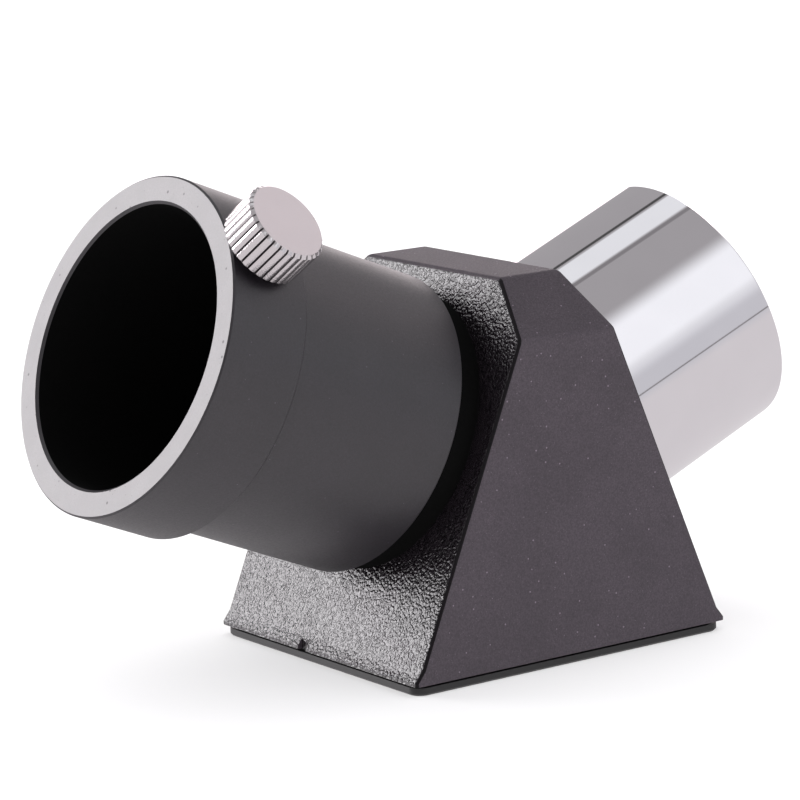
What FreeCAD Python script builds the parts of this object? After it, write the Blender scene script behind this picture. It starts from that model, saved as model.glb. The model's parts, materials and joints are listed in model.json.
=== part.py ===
"""Star diagonal, 1.25 inch fittings, that turns the light path by 45 degrees with an erecting roof prism.

Frame, in millimetres: the origin is the centre of the base cover's underside, +Z is up, and both
light axes lie in the plane y = 0 and cross on the Z axis. The eyepiece end points to -X and up,
the nosepiece to +X and up. Along either light axis, s is the distance from that crossing.
"""
import FreeCAD, Part
import math
import os

from FreeCAD import Placement, Rotation, Vector

# ---- light path ----
DEVIATION = 45.0                    # degrees between the incoming light and the light that leaves
TILT = DEVIATION / 2                # each light axis above the horizontal
CROSSING_Z = 20.9                   # height at which the two light axes meet
SIN, COS, TAN = (f(math.radians(TILT)) for f in (math.sin, math.cos, math.tan))

# ---- housing ----
WALL = 2.4
FACE_S = 12.6                       # outer sloping face, which the tube's axis meets at a right angle
SEAT_S = FACE_S - WALL              # inner side of the sloping wall
HOUSING_BOTTOM = 1.2
HOUSING_TOP = 43.6
SHOULDER_Z = 37.6                   # where the sides start to lean in
HALF_WIDTH = 19.25
TOP_HALF_WIDTH = 12.65
EDGE_RADIUS = 0.5
LIP_OUT, LIP_FLAT, LIP_HEIGHT = 0.3, 0.4, 1.6   # flare at the foot of the sloping faces
GATE_Y, GATE_WIDTH, GATE_HEIGHT, GATE_DEPTH = 4.0, 1.2, 1.0, 0.5   # scar of the moulding gate
PORT_RADIUS = 15.05

# ---- base cover, gasket and cover screws ----
COVER_THICKNESS = 0.9
COVER_INSET, COVER_CORNER, COVER_BEVEL = 0.25, 1.6, 0.25
GASKET_INSET, GASKET_WIDTH = 0.9, 1.5
COVER_SCREW_X, COVER_SCREW_Y = 16.3, 14.2
COVER_BOSS_RADIUS, COVER_BOSS_TOP = 2.3, 12.0
COVER_SCREW_RADIUS, COVER_SCREW_END = 1.0, 6.5
FLAT_HEAD_RADIUS, FLAT_HEAD_HEIGHT = 1.85, 0.8
HEAD_SINK = 0.05                    # how far a countersunk head lies below its surface
RECESS_LENGTH, RECESS_WIDTH, RECESS_DEPTH = 2.1, 0.42, 0.5
PLAY = 0.03                         # radial play of screws and threads in their holes
HOLE_PLAY, HEAD_PLAY = 0.3, 0.1     # the same where a screw passes through and where its head sits
HOLE_SPARE = 0.5                    # depth of a screw's hole past its tip

# ---- eyepiece tube ----
BORE_RADIUS = 15.95                 # takes a 31.75 mm eyepiece barrel
EYEPIECE_END_S = 49.4
COLLAR_LENGTH, COLLAR_RADIUS = 10.0, 19.1
BODY_RADIUS, BODY_START_S = 17.4, 16.0
NECK_RADIUS = 16.2
STOP_THICKNESS, STOP_RADIUS = 0.8, 13.2
SPIGOT_RADIUS, SPIGOT_END_S = 15.0, 8.0
RIM_CHAMFER, BORE_CHAMFER, STEP_CHAMFER = 0.2, 0.3, 0.25

# ---- nosepiece ----
BARREL_RADIUS = 31.75 / 2
NOSE_END_S = 36.0
NOSE_INNER_RADIUS = 13.6
FILTER_RADIUS, FILTER_LENGTH = 13.95, 5.5       # core of the M28.5 x 0.6 filter thread

# ---- lock rings ----
LOCK_RING_RADIUS = 16.5
LOCK_SLOT_WIDTH, LOCK_SLOT_DEPTH = 2.5, 0.8

# ---- thumbscrew ----
SCREW_S = 45.6                      # place along the eyepiece axis
SCREW_ROLL = 46.0                   # degrees round the collar, from the top towards -Y
THREAD_RADIUS, THREAD_PITCH, THREAD_DEPTH = 2.0, 0.7, 0.43
TIP_R = 16.0                        # the screw's tip, from the eyepiece axis, at rest
KNOB_FOOT_R, KNOB_TOP_R = 19.7, 24.45
KNOB_RADIUS, KNOB_CHAMFER, KNOB_FOOT_CHAMFER = 4.85, 0.35, 0.15
FLUTES, FLUTE_DEPTH, FLUTE_HALF_WIDTH = 32, 0.36, 0.27
TANG_RADIUS, TANG_LENGTH = 1.6, 3.0

# ---- prism ----
FACE_LENGTH = 11.5                  # from the sharp apex to the entry ray, along the prism's face
PRISM_FACE_S = FACE_LENGTH * TAN
APEX_Z = CROSSING_Z + FACE_LENGTH / COS
RIDGE_Z = APEX_Z - FACE_LENGTH / SIN            # lowest line, where the two roof faces meet
PRISM_HALF_WIDTH = 10.5
PRISM_TOP = 31.3                    # the apex is cut off flat here
PRISM_HALF_LENGTH = 11.6            # the base corners are cut off here
PRISM_BEVEL = 0.2

# ---- prism carrier, its pads, clip and screws ----
CARRIER_FLOOR, CARRIER_FLOOR_TOP = 1.5, 2.7
CARRIER_FACE_S = 6.0                # sloping ends of the cheeks
CHEEK_INNER, CHEEK_OUTER, CHEEK_TOP = 11.1, 12.7, 30.0
FLOOR_HALF_LENGTH, FLOOR_HALF_WIDTH = 12.8, 14.4
EAR_HALF_WIDTH, EAR_END = 2.6, 17.2
CARRIER_SCREW_X, CARRIER_SCREW_RADIUS, CARRIER_SCREW_END = 15.1, 0.8, 7.0
CARRIER_BOSS_RADIUS, CARRIER_BOSS_TOP = 1.9, 7.8
SADDLE_NEAR, SADDLE_FAR, SADDLE_TOP = 7.8, 9.8, 11.0
SEAT_PAD_THICKNESS, SEAT_PAD_FROM, SEAT_PAD_LENGTH = 0.4, 4.0, 4.5
SIDE_PAD_HALF_LENGTH, SIDE_PAD_LOW, SIDE_PAD_HIGH = 4.0, 15.5, 23.5
CLIP_THICKNESS, CLIP_HALF_WIDTH, CLIP_LOW = 0.4, 2.6, 24.6
CLIP_PAD_THICKNESS, CLIP_PAD_HALF_LENGTH, CLIP_PAD_HALF_WIDTH = 0.5, 0.75, 7.0
CLIP_SCREW_Z, CLIP_SCREW_RADIUS = 27.0, 0.8
CLIP_BOSS_OUTER, CLIP_BOSS_RADIUS = 14.2, 2.5
PAN_HEAD_RADIUS, PAN_HEAD_HEIGHT = 1.6, 0.9

# ---- prism masks ----
MASK_GAP, MASK_THICKNESS, MASK_OPENING = 0.2, 0.3, 9.0
MASK_LOW, MASK_HIGH = -10.4, 9.4    # along the prism's face, from the light axis

CROSSING = Vector(0, 0, CROSSING_Z)
EYEPIECE_AXIS = Placement(CROSSING, Rotation(Vector(0, 1, 0), TILT - 90))
NOSE_AXIS = Placement(CROSSING, Rotation(Vector(0, 1, 0), 90 - TILT))
UP, ALONG_X, ALONG_Y = Vector(0, 0, 1), Vector(1, 0, 0), Vector(0, 1, 0)
FAR = 60.0                          # larger than the housing, for cutting blocks


def placed(shape, placement):
    """A copy of shape moved by the placement."""
    moved = shape.copy()
    moved.Placement = placement.multiply(moved.Placement)
    return moved


def turned(profile):
    """A solid of revolution about Z, from (radius, height) points."""
    points = [Vector(r, 0, z) for r, z in profile]
    return Part.Face(Part.makePolygon(points + points[:1])).revolve(Vector(), UP, 360)


def ring(inner, outer, low, high):
    return turned([(inner, low), (outer, low), (outer, high), (inner, high)])


def rod(radius, start, direction, length):
    return Part.makeCylinder(radius, length, start, direction)


def block(x0, x1, y0, y1, z0, z1):
    return Part.makeBox(x1 - x0, y1 - y0, z1 - z0, Vector(x0, y0, z0))


def slab_along_y(outline, half_width):
    """A prism with its (x, z) outline, centred on y = 0."""
    points = [Vector(x, -half_width, z) for x, z in outline]
    return Part.Face(Part.makePolygon(points + points[:1])).extrude(Vector(0, 2 * half_width, 0))


def slab_along_x(outline, half_length):
    """A prism with its (y, z) outline, centred on x = 0."""
    points = [Vector(-half_length, y, z) for y, z in outline]
    return Part.Face(Part.makePolygon(points + points[:1])).extrude(Vector(2 * half_length, 0, 0))


def mirrored(shapes, normal):
    return [s.mirror(Vector(), normal) for s in shapes]


def half_length(face_s, z):
    """Half the length, at height z, of a wedge whose sloping faces lie at face_s."""
    return (face_s - (z - CROSSING_Z) * SIN) / COS


def wedge(face_s, low, high, half_width):
    """A block between two sloping faces that lean in towards the top."""
    base, top = half_length(face_s, low), half_length(face_s, high)
    return slab_along_y([(-base, low), (base, low), (top, high), (-top, high)], half_width)


def lean(offset):
    """Width of the leaning sides at the shoulder and the top of a shell that lies inside by offset."""
    run, rise = HALF_WIDTH - TOP_HALF_WIDTH, HOUSING_TOP - SHOULDER_Z
    side, top = HALF_WIDTH - offset, HOUSING_TOP - offset
    shift = offset * math.hypot(run, rise)
    reach = rise * HALF_WIDTH + run * SHOULDER_Z - shift
    return [(side, (reach - rise * side) / run), ((reach - run * top) / rise, top)]


def housing_block(offset, low):
    """The housing's outer form, or with an offset the room inside it."""
    body = wedge(FACE_S - offset, low, HOUSING_TOP - offset, HALF_WIDTH)
    (side, shoulder), (top_side, top) = lean(offset)
    outline = [(side, low), (side, shoulder), (top_side, top),
               (-top_side, top), (-side, shoulder), (-side, low)]
    return body.common(slab_along_x(outline, FAR))


def rounded_rectangle(half_x, half_y, corner, z0, z1):
    body = block(-half_x, half_x, -half_y, half_y, z0, z1)
    upright = [e for e in body.Edges if abs(e.tangentAt(e.FirstParameter).z) > 0.9]
    return body.makeFillet(corner, upright)


def countersink(x, y, surface_z, radius):
    """A flat head's cone, with its wide end at surface_z and its neck above it."""
    return Part.makeCone(radius, radius - FLAT_HEAD_HEIGHT, FLAT_HEAD_HEIGHT, Vector(x, y, surface_z), UP)


def cross_recess(depth):
    """Two crossed slots that stand on z = 0, as high as depth."""
    half, width = RECESS_LENGTH / 2, RECESS_WIDTH / 2
    return block(-half, half, -width, width, 0, depth).fuse(block(-width, width, -half, half, 0, depth))


def flat_screw(x, y, surface_z, radius, end_z):
    """A countersunk self-tapping screw that goes up from surface_z."""
    head_z = surface_z + HEAD_SINK
    neck_z = head_z + FLAT_HEAD_HEIGHT
    head = countersink(x, y, head_z, FLAT_HEAD_RADIUS)
    tip = 0.6 * radius
    shank = rod(radius, Vector(x, y, neck_z - 0.2), UP, end_z - tip - neck_z + 0.2)
    point = Part.makeCone(radius, radius - tip, tip, Vector(x, y, end_z - tip), UP)
    recess = cross_recess(RECESS_DEPTH).translated(Vector(x, y, head_z))
    return head.fuse([shank, point]).removeSplitter().cut(recess)


def corners(x, y):
    return [(sx * x, sy * y) for sx in (-1, 1) for sy in (-1, 1)]


# ---- casing ----

def outer_form():
    """The housing as a solid block, with rounded edges and a small flare at the foot of the slopes."""
    body = housing_block(0, HOUSING_BOTTOM)
    body = body.makeFillet(EDGE_RADIUS, [e for e in body.Edges if e.BoundBox.ZMax > HOUSING_BOTTOM + 1])
    foot = half_length(FACE_S, HOUSING_BOTTOM)
    lip_top = HOUSING_BOTTOM + LIP_HEIGHT
    flare = [(foot - 1, HOUSING_BOTTOM), (foot + LIP_OUT, HOUSING_BOTTOM),
             (foot + LIP_OUT, HOUSING_BOTTOM + LIP_FLAT), (half_length(FACE_S, lip_top), lip_top),
             (foot - 1, lip_top)]
    lip = slab_along_y(flare, HALF_WIDTH - EDGE_RADIUS / 2)
    gate = block(-foot - 1, GATE_DEPTH - foot - LIP_OUT, GATE_Y - GATE_WIDTH / 2, GATE_Y + GATE_WIDTH / 2,
                 HOUSING_BOTTOM, HOUSING_BOTTOM + GATE_HEIGHT)
    return body.fuse([lip] + mirrored([lip], ALONG_X)).removeSplitter().cut(gate)


def screw_posts():
    """Posts inside the housing that the cover screws and the carrier screws go into."""
    posts = [rod(COVER_BOSS_RADIUS, Vector(x, y, COVER_THICKNESS), UP, COVER_BOSS_TOP - COVER_THICKNESS)
             for x, y in corners(COVER_SCREW_X, COVER_SCREW_Y)]
    carrier_post = CARRIER_BOSS_TOP - CARRIER_FLOOR_TOP
    posts += [rod(CARRIER_BOSS_RADIUS, Vector(x, 0, CARRIER_FLOOR_TOP), UP, carrier_post)
              for x in (-CARRIER_SCREW_X, CARRIER_SCREW_X)]
    limit = housing_block(WALL / 2, COVER_THICKNESS)
    return [p.common(limit) for p in posts]


def screw_holes():
    holes = [rod(COVER_SCREW_RADIUS + PLAY, Vector(x, y, 0), UP, COVER_SCREW_END + HOLE_SPARE)
             for x, y in corners(COVER_SCREW_X, COVER_SCREW_Y)]
    holes += [rod(CARRIER_SCREW_RADIUS + PLAY, Vector(x, 0, 0), UP, CARRIER_SCREW_END + HOLE_SPARE)
              for x in (-CARRIER_SCREW_X, CARRIER_SCREW_X)]
    return holes


def housing():
    shell = outer_form().cut(housing_block(WALL, HOUSING_BOTTOM - 1))
    shell = shell.fuse(screw_posts()).removeSplitter()
    port = rod(PORT_RADIUS, Vector(0, 0, SEAT_S - 1), UP, WALL + 2)
    return shell.cut([placed(port, EYEPIECE_AXIS), placed(port, NOSE_AXIS)] + screw_holes())


def cover_outline(inset):
    """Half the length and half the width of a plate that lies inside the housing's foot by inset."""
    return half_length(FACE_S, HOUSING_BOTTOM) + LIP_OUT - inset, HALF_WIDTH - inset


def base_cover():
    half_x, half_y = cover_outline(COVER_INSET)
    plate = rounded_rectangle(half_x, half_y, COVER_CORNER, 0, COVER_THICKNESS)
    plate = plate.makeChamfer(COVER_BEVEL, [e for e in plate.Edges if e.BoundBox.ZMax < 1e-3])
    holes = []
    for x, y in corners(COVER_SCREW_X, COVER_SCREW_Y):
        holes.append(rod(COVER_SCREW_RADIUS + HOLE_PLAY, Vector(x, y, -1), UP, COVER_THICKNESS + 2))
        holes.append(countersink(x, y, 0, FLAT_HEAD_RADIUS + HEAD_PLAY))
    return plate.cut(holes)


def cover_gasket():
    outer_x, outer_y = cover_outline(GASKET_INSET)
    outer = rounded_rectangle(outer_x, outer_y, COVER_CORNER, COVER_THICKNESS, HOUSING_BOTTOM)
    inner = block(-outer_x + GASKET_WIDTH, outer_x - GASKET_WIDTH, -outer_y + GASKET_WIDTH,
                  outer_y - GASKET_WIDTH, 0, 2)
    posts = [rod(COVER_BOSS_RADIUS + HEAD_PLAY, Vector(x, y, 0), UP, 2)
             for x, y in corners(COVER_SCREW_X, COVER_SCREW_Y)]
    return outer.cut([inner] + posts)


def cover_screws():
    return [flat_screw(x, y, 0, COVER_SCREW_RADIUS, COVER_SCREW_END)
            for x, y in corners(COVER_SCREW_X, COVER_SCREW_Y)]


# ---- tubes ----

def eyepiece_tube():
    end, collar_start = EYEPIECE_END_S, EYEPIECE_END_S - COLLAR_LENGTH
    stop = BODY_START_S + STOP_THICKNESS
    profile = [
        (STOP_RADIUS, SPIGOT_END_S),
        (SPIGOT_RADIUS, SPIGOT_END_S),
        (SPIGOT_RADIUS, FACE_S),
        (NECK_RADIUS, FACE_S),
        (NECK_RADIUS, BODY_START_S),
        (BODY_RADIUS - STEP_CHAMFER, BODY_START_S),
        (BODY_RADIUS, BODY_START_S + STEP_CHAMFER),
        (BODY_RADIUS, collar_start),
        (COLLAR_RADIUS - STEP_CHAMFER, collar_start),
        (COLLAR_RADIUS, collar_start + STEP_CHAMFER),
        (COLLAR_RADIUS, end - RIM_CHAMFER),
        (COLLAR_RADIUS - RIM_CHAMFER, end),
        (BORE_RADIUS + BORE_CHAMFER, end),
        (BORE_RADIUS, end - BORE_CHAMFER),
        (BORE_RADIUS, stop),
        (STOP_RADIUS, stop),
    ]
    tube = placed(turned(profile), EYEPIECE_AXIS)
    hole = rod(THREAD_RADIUS + PLAY, Vector(0, 0, BORE_RADIUS - 3), UP, COLLAR_RADIUS - BORE_RADIUS + 6)
    return tube.cut(placed(hole, screw_axis()))


def nosepiece_tube():
    end = NOSE_END_S
    profile = [
        (NOSE_INNER_RADIUS, SPIGOT_END_S),
        (SPIGOT_RADIUS, SPIGOT_END_S),
        (SPIGOT_RADIUS, FACE_S),
        (BARREL_RADIUS, FACE_S),
        (BARREL_RADIUS, end - RIM_CHAMFER),
        (BARREL_RADIUS - RIM_CHAMFER, end),
        (FILTER_RADIUS, end),
        (FILTER_RADIUS, end - FILTER_LENGTH),
        (NOSE_INNER_RADIUS, end - FILTER_LENGTH),
    ]
    return placed(turned(profile), NOSE_AXIS)


def lock_ring(axis):
    """The slotted ring nut that clamps a tube's spigot to the housing wall from inside."""
    nut = ring(SPIGOT_RADIUS + PLAY, LOCK_RING_RADIUS, SPIGOT_END_S, SEAT_S)
    half = LOCK_SLOT_WIDTH / 2
    slot = block(-half, half, -FAR, FAR, SPIGOT_END_S - 1, SPIGOT_END_S + LOCK_SLOT_DEPTH)
    return placed(nut.cut(slot), axis)


# ---- thumbscrew ----

def screw_axis():
    """Z runs out along the thumbscrew, from the eyepiece axis."""
    place = Placement(Vector(0, 0, SCREW_S), Rotation(UP, -SCREW_ROLL))
    point_outwards = Placement(Vector(), Rotation(ALONG_Y, 90))
    return EYEPIECE_AXIS.multiply(place).multiply(point_outwards)


def thumbscrew_knob():
    body = turned([(0, KNOB_FOOT_R), (KNOB_RADIUS - KNOB_FOOT_CHAMFER, KNOB_FOOT_R),
                   (KNOB_RADIUS, KNOB_FOOT_R + KNOB_FOOT_CHAMFER), (KNOB_RADIUS, KNOB_TOP_R - KNOB_CHAMFER),
                   (KNOB_RADIUS - KNOB_CHAMFER, KNOB_TOP_R), (0, KNOB_TOP_R)])
    root = KNOB_RADIUS - FLUTE_DEPTH
    outline = [Vector(root, 0, 0), Vector(KNOB_RADIUS + 0.1, FLUTE_HALF_WIDTH, 0),
               Vector(KNOB_RADIUS + 0.1, -FLUTE_HALF_WIDTH, 0)]
    groove = Part.Face(Part.makePolygon(outline + outline[:1])).extrude(Vector(0, 0, KNOB_TOP_R + 1))
    cuts = [groove.rotated(Vector(), UP, 360 * i / FLUTES) for i in range(FLUTES)]
    cuts.append(rod(TANG_RADIUS + PLAY, Vector(0, 0, KNOB_FOOT_R - 1), UP, TANG_LENGTH + 1.2))
    return placed(body.cut(cuts), screw_axis())


def thumbscrew_stud():
    root = THREAD_RADIUS - THREAD_DEPTH
    profile = [(0, TIP_R), (root, TIP_R), (root, TIP_R + 0.1)]
    z = TIP_R + 0.1
    while z + THREAD_PITCH <= KNOB_FOOT_R:
        profile += [(THREAD_RADIUS, z + 0.42 * THREAD_PITCH), (THREAD_RADIUS, z + 0.58 * THREAD_PITCH),
                    (root, z + THREAD_PITCH)]
        z += THREAD_PITCH
    profile += [(root, KNOB_FOOT_R), (TANG_RADIUS, KNOB_FOOT_R), (TANG_RADIUS, KNOB_FOOT_R + TANG_LENGTH),
                (0, KNOB_FOOT_R + TANG_LENGTH)]
    return placed(turned(profile), screw_axis())


# ---- prism and what holds it ----

def roof_prism():
    body = wedge(PRISM_FACE_S, RIDGE_Z, PRISM_TOP, PRISM_HALF_WIDTH)
    eaves = RIDGE_Z + PRISM_HALF_WIDTH
    roof = [(0, RIDGE_Z), (PRISM_HALF_WIDTH, eaves), (PRISM_HALF_WIDTH, FAR), (-PRISM_HALF_WIDTH, FAR),
            (-PRISM_HALF_WIDTH, eaves)]
    body = body.common(slab_along_x(roof, PRISM_HALF_LENGTH))
    uprights = [e for e in body.Edges if e.BoundBox.ZMax > eaves and e.BoundBox.YLength < 1e-3]
    return body.makeChamfer(PRISM_BEVEL, uprights)


def saddle():
    """The V block under one end of the roof, with room for the seat pads."""
    body = block(SADDLE_NEAR, SADDLE_FAR, -CHEEK_INNER, CHEEK_INNER, CARRIER_FLOOR_TOP - 0.2, SADDLE_TOP)
    low = RIDGE_Z - SEAT_PAD_THICKNESS * math.sqrt(2)
    valley = [(0, low), (FAR, low + FAR), (-FAR, low + FAR)]
    return body.cut(slab_along_x(valley, FAR))


def prism_carrier():
    floor = block(-FLOOR_HALF_LENGTH, FLOOR_HALF_LENGTH, -FLOOR_HALF_WIDTH, FLOOR_HALF_WIDTH,
                  CARRIER_FLOOR, CARRIER_FLOOR_TOP)
    ears = block(-EAR_END, EAR_END, -EAR_HALF_WIDTH, EAR_HALF_WIDTH, CARRIER_FLOOR, CARRIER_FLOOR_TOP)
    cheeks = wedge(CARRIER_FACE_S, CARRIER_FLOOR_TOP - 0.2, CHEEK_TOP, CHEEK_OUTER)
    cheeks = cheeks.cut(block(-FAR, FAR, -CHEEK_INNER, CHEEK_INNER, 0, FAR))
    cheeks = cheeks.common(block(-FLOOR_HALF_LENGTH, FLOOR_HALF_LENGTH, -FAR, FAR, 0, FAR))
    boss_length = CLIP_BOSS_OUTER - CHEEK_INNER
    bosses = [rod(CLIP_BOSS_RADIUS, Vector(0, CHEEK_INNER, CLIP_SCREW_Z), ALONG_Y, boss_length)]
    bosses += mirrored(bosses, ALONG_Y)
    saddles = [saddle()]
    saddles += mirrored(saddles, ALONG_X)
    body = floor.fuse([ears, cheeks] + bosses + saddles).removeSplitter()
    holes = [rod(CLIP_SCREW_RADIUS + PLAY, Vector(0, -FAR / 2, CLIP_SCREW_Z), ALONG_Y, FAR)]
    for x in (-CARRIER_SCREW_X, CARRIER_SCREW_X):
        holes.append(rod(CARRIER_SCREW_RADIUS + HOLE_PLAY, Vector(x, 0, 0), UP, CARRIER_FLOOR_TOP + 1))
        holes.append(countersink(x, 0, CARRIER_FLOOR, FLAT_HEAD_RADIUS + HEAD_PLAY))
    return body.cut(holes)


def seat_pads(side):
    """Two pads between one saddle and the two roof faces."""
    pad = block(SADDLE_NEAR, SADDLE_FAR, SEAT_PAD_FROM, SEAT_PAD_FROM + SEAT_PAD_LENGTH,
                -SEAT_PAD_THICKNESS, 0)
    pad = placed(pad, Placement(Vector(0, 0, RIDGE_Z), Rotation(ALONG_X, 45)))
    pads = [pad] + mirrored([pad], ALONG_Y)
    return pads if side > 0 else mirrored(pads, ALONG_X)


def side_pad(side):
    near, far = sorted((side * PRISM_HALF_WIDTH, side * CHEEK_INNER))
    return block(-SIDE_PAD_HALF_LENGTH, SIDE_PAD_HALF_LENGTH, near, far, SIDE_PAD_LOW, SIDE_PAD_HIGH)


def prism_clip():
    """A spring strap over the prism's top, screwed to both cheeks."""
    low = PRISM_TOP + CLIP_PAD_THICKNESS
    outer = CLIP_BOSS_OUTER + CLIP_THICKNESS
    strap = block(-CLIP_HALF_WIDTH, CLIP_HALF_WIDTH, -outer, outer, CLIP_LOW, low + CLIP_THICKNESS)
    bends = [e for e in strap.Edges if e.BoundBox.XLength > 1 and e.BoundBox.ZMin > low]
    strap = strap.makeFillet(3 * CLIP_THICKNESS, bends)
    inside = block(-FAR, FAR, -CLIP_BOSS_OUTER, CLIP_BOSS_OUTER, 0, low)
    bends = [e for e in inside.Edges if e.BoundBox.XLength > 1 and e.BoundBox.ZMin > low - 1]
    inside = inside.makeFillet(2 * CLIP_THICKNESS, bends)
    hole = rod(CLIP_SCREW_RADIUS + HEAD_PLAY, Vector(0, -FAR / 2, CLIP_SCREW_Z), ALONG_Y, FAR)
    return strap.cut([inside, hole])


def clip_pad():
    return block(-CLIP_PAD_HALF_LENGTH, CLIP_PAD_HALF_LENGTH, -CLIP_PAD_HALF_WIDTH, CLIP_PAD_HALF_WIDTH,
                 PRISM_TOP, PRISM_TOP + CLIP_PAD_THICKNESS)


def clip_screws():
    face = CLIP_BOSS_OUTER + CLIP_THICKNESS
    head = rod(PAN_HEAD_RADIUS, Vector(0, 0, 0), UP, PAN_HEAD_HEIGHT)
    head = head.makeFillet(0.5, [e for e in head.Edges if e.BoundBox.ZMin > PAN_HEAD_HEIGHT - 0.1])
    shank = rod(CLIP_SCREW_RADIUS, Vector(0, 0, CHEEK_INNER + 0.1 - face), UP, face - CHEEK_INNER)
    recess = cross_recess(RECESS_DEPTH).translated(Vector(0, 0, PAN_HEAD_HEIGHT - RECESS_DEPTH))
    screw = head.fuse(shank).removeSplitter().cut(recess)
    screw = placed(screw, Placement(Vector(0, face, CLIP_SCREW_Z), Rotation(ALONG_X, -90)))
    return [screw] + mirrored([screw], ALONG_Y)


def carrier_screws():
    return [flat_screw(x, 0, CARRIER_FLOOR, CARRIER_SCREW_RADIUS, CARRIER_SCREW_END)
            for x in (-CARRIER_SCREW_X, CARRIER_SCREW_X)]


def prism_mask(axis, up):
    """A blackened plate with a round opening, just outside one of the prism's polished faces."""
    near = PRISM_FACE_S + MASK_GAP
    low, high = sorted((up * MASK_LOW, up * MASK_HIGH))
    plate = block(low, high, -CHEEK_INNER, CHEEK_INNER, near, near + MASK_THICKNESS)
    plate = plate.cut(rod(MASK_OPENING, Vector(0, 0, near - 1), UP, MASK_THICKNESS + 2))
    return placed(plate, axis)


PARTS = {
    "housing": housing,
    "base_cover": base_cover,
    "cover_gasket": cover_gasket,
    "cover_screws": cover_screws,
    "eyepiece_tube": eyepiece_tube,
    "eyepiece_lock_ring": lambda: lock_ring(EYEPIECE_AXIS),
    "nosepiece_tube": nosepiece_tube,
    "nosepiece_lock_ring": lambda: lock_ring(NOSE_AXIS),
    "thumbscrew_knob": thumbscrew_knob,
    "thumbscrew_stud": thumbscrew_stud,
    "roof_prism": roof_prism,
    "prism_carrier": prism_carrier,
    "seat_pads_eyepiece_side": lambda: seat_pads(-1),
    "seat_pads_nosepiece_side": lambda: seat_pads(1),
    "side_pad_left": lambda: side_pad(-1),
    "side_pad_right": lambda: side_pad(1),
    "prism_clip": prism_clip,
    "clip_pad": clip_pad,
    "clip_screws": clip_screws,
    "carrier_screws": carrier_screws,
    "eyepiece_side_mask": lambda: prism_mask(EYEPIECE_AXIS, 1),
    "nosepiece_side_mask": lambda: prism_mask(NOSE_AXIS, -1),
}


def main():
    os.makedirs("parts", exist_ok=True)
    for name, build in PARTS.items():
        made = build()
        shape = Part.makeCompound(made) if isinstance(made, list) else made
        shape.exportStep(f"parts/{name}.step")
        print(f"{name}: {len(shape.Solids)} solid(s), {shape.Volume:.1f} mm3, valid {shape.isValid()}")


main()
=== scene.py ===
"""Prism star diagonal: builds the shown surfaces of the diagonal around its engineering model.

Every length is in metres, in the frame of the engineering model: the origin is the centre of the
underside, +Z is up, and both light axes lie in the plane y = 0. Along either light axis, s is the
distance from the point where the two axes cross.
"""
import json
import math

import bmesh
import bpy
from bpy.props import FloatProperty, FloatVectorProperty, IntProperty, PointerProperty
from mathutils import Matrix, Vector


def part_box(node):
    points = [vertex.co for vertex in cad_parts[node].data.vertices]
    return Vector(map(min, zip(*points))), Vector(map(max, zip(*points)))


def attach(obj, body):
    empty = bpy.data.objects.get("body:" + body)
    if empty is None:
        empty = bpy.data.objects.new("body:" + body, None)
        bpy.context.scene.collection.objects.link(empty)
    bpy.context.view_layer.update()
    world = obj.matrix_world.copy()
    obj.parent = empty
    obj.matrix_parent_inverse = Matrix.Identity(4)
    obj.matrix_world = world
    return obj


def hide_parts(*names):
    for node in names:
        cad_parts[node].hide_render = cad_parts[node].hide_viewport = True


bl_info = {
    "name": "Prism Star Diagonal",
    "version": (1, 0, 0),
    "blender": (4, 5, 0),
    "location": "3D View > Sidebar > Diagonal",
    "description": "Builds a 45 degree erecting prism diagonal around its engineering model",
    "category": "Add Mesh",
}

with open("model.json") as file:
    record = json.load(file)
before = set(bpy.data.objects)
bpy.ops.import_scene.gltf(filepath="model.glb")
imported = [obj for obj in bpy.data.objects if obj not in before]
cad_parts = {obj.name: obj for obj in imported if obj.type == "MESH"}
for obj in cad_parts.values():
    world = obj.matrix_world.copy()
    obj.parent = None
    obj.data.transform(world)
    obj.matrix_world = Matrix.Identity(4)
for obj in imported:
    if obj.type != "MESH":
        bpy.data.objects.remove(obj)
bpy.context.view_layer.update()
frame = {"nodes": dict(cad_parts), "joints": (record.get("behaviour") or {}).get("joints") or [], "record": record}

MM = 0.001
EPSILON = 0.01 * MM                 # closer than this is the same place
PLAY = 0.03 * MM                    # radial play of a screw's thread or shank in its hole
FLUTE_POINTS = 8                    # points round the knob for each flute, one of them at its root
MOUNTS = {mount["name"]: mount for mount in frame["record"]["mounts"]}
JOINTS = {joint["name"]: joint for joint in frame["joints"]}
EYEPIECE_AXIS = Vector(MOUNTS["eyepiece_bore"]["axis"])
NOSE_AXIS = Vector(MOUNTS["nosepiece"]["axis"])
SCREW_AXIS = Vector(JOINTS["thumbscrew_turn"]["axis"])
SCREW_FOOT = Vector(JOINTS["thumbscrew_turn"]["pos_m"])
TILT = math.asin(EYEPIECE_AXIS.z)
BORE_PLACE = Vector(MOUNTS["eyepiece_bore"]["pos_m"])
CROSSING = BORE_PLACE - EYEPIECE_AXIS * (BORE_PLACE.x / EYEPIECE_AXIS.x)
BORE_RADIUS = MOUNTS["eyepiece_bore"]["dims"]["r_mm"] * MM
BARREL_RADIUS = MOUNTS["nosepiece"]["dims"]["r_mm"] * MM
FILTER_RADIUS = MOUNTS["filter_thread"]["dims"]["r_mm"] * MM
FILTER_LENGTH = MOUNTS["filter_thread"]["dims"]["length_mm"] * MM


# ---- sizes and colours that a user can change ----

def length(name, description, millimetres):
    return FloatProperty(name=name, description=description, default=millimetres * MM, min=0.0,
                         unit="LENGTH", precision=5)


def angle(name, description, degrees):
    return FloatProperty(name=name, description=description, default=math.radians(degrees), unit="ROTATION")


def colour(name, description, red, green, blue):
    return FloatVectorProperty(name=name, description=description, default=(red, green, blue, 1.0), size=4,
                               min=0.0, max=1.0, subtype="COLOR")


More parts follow.
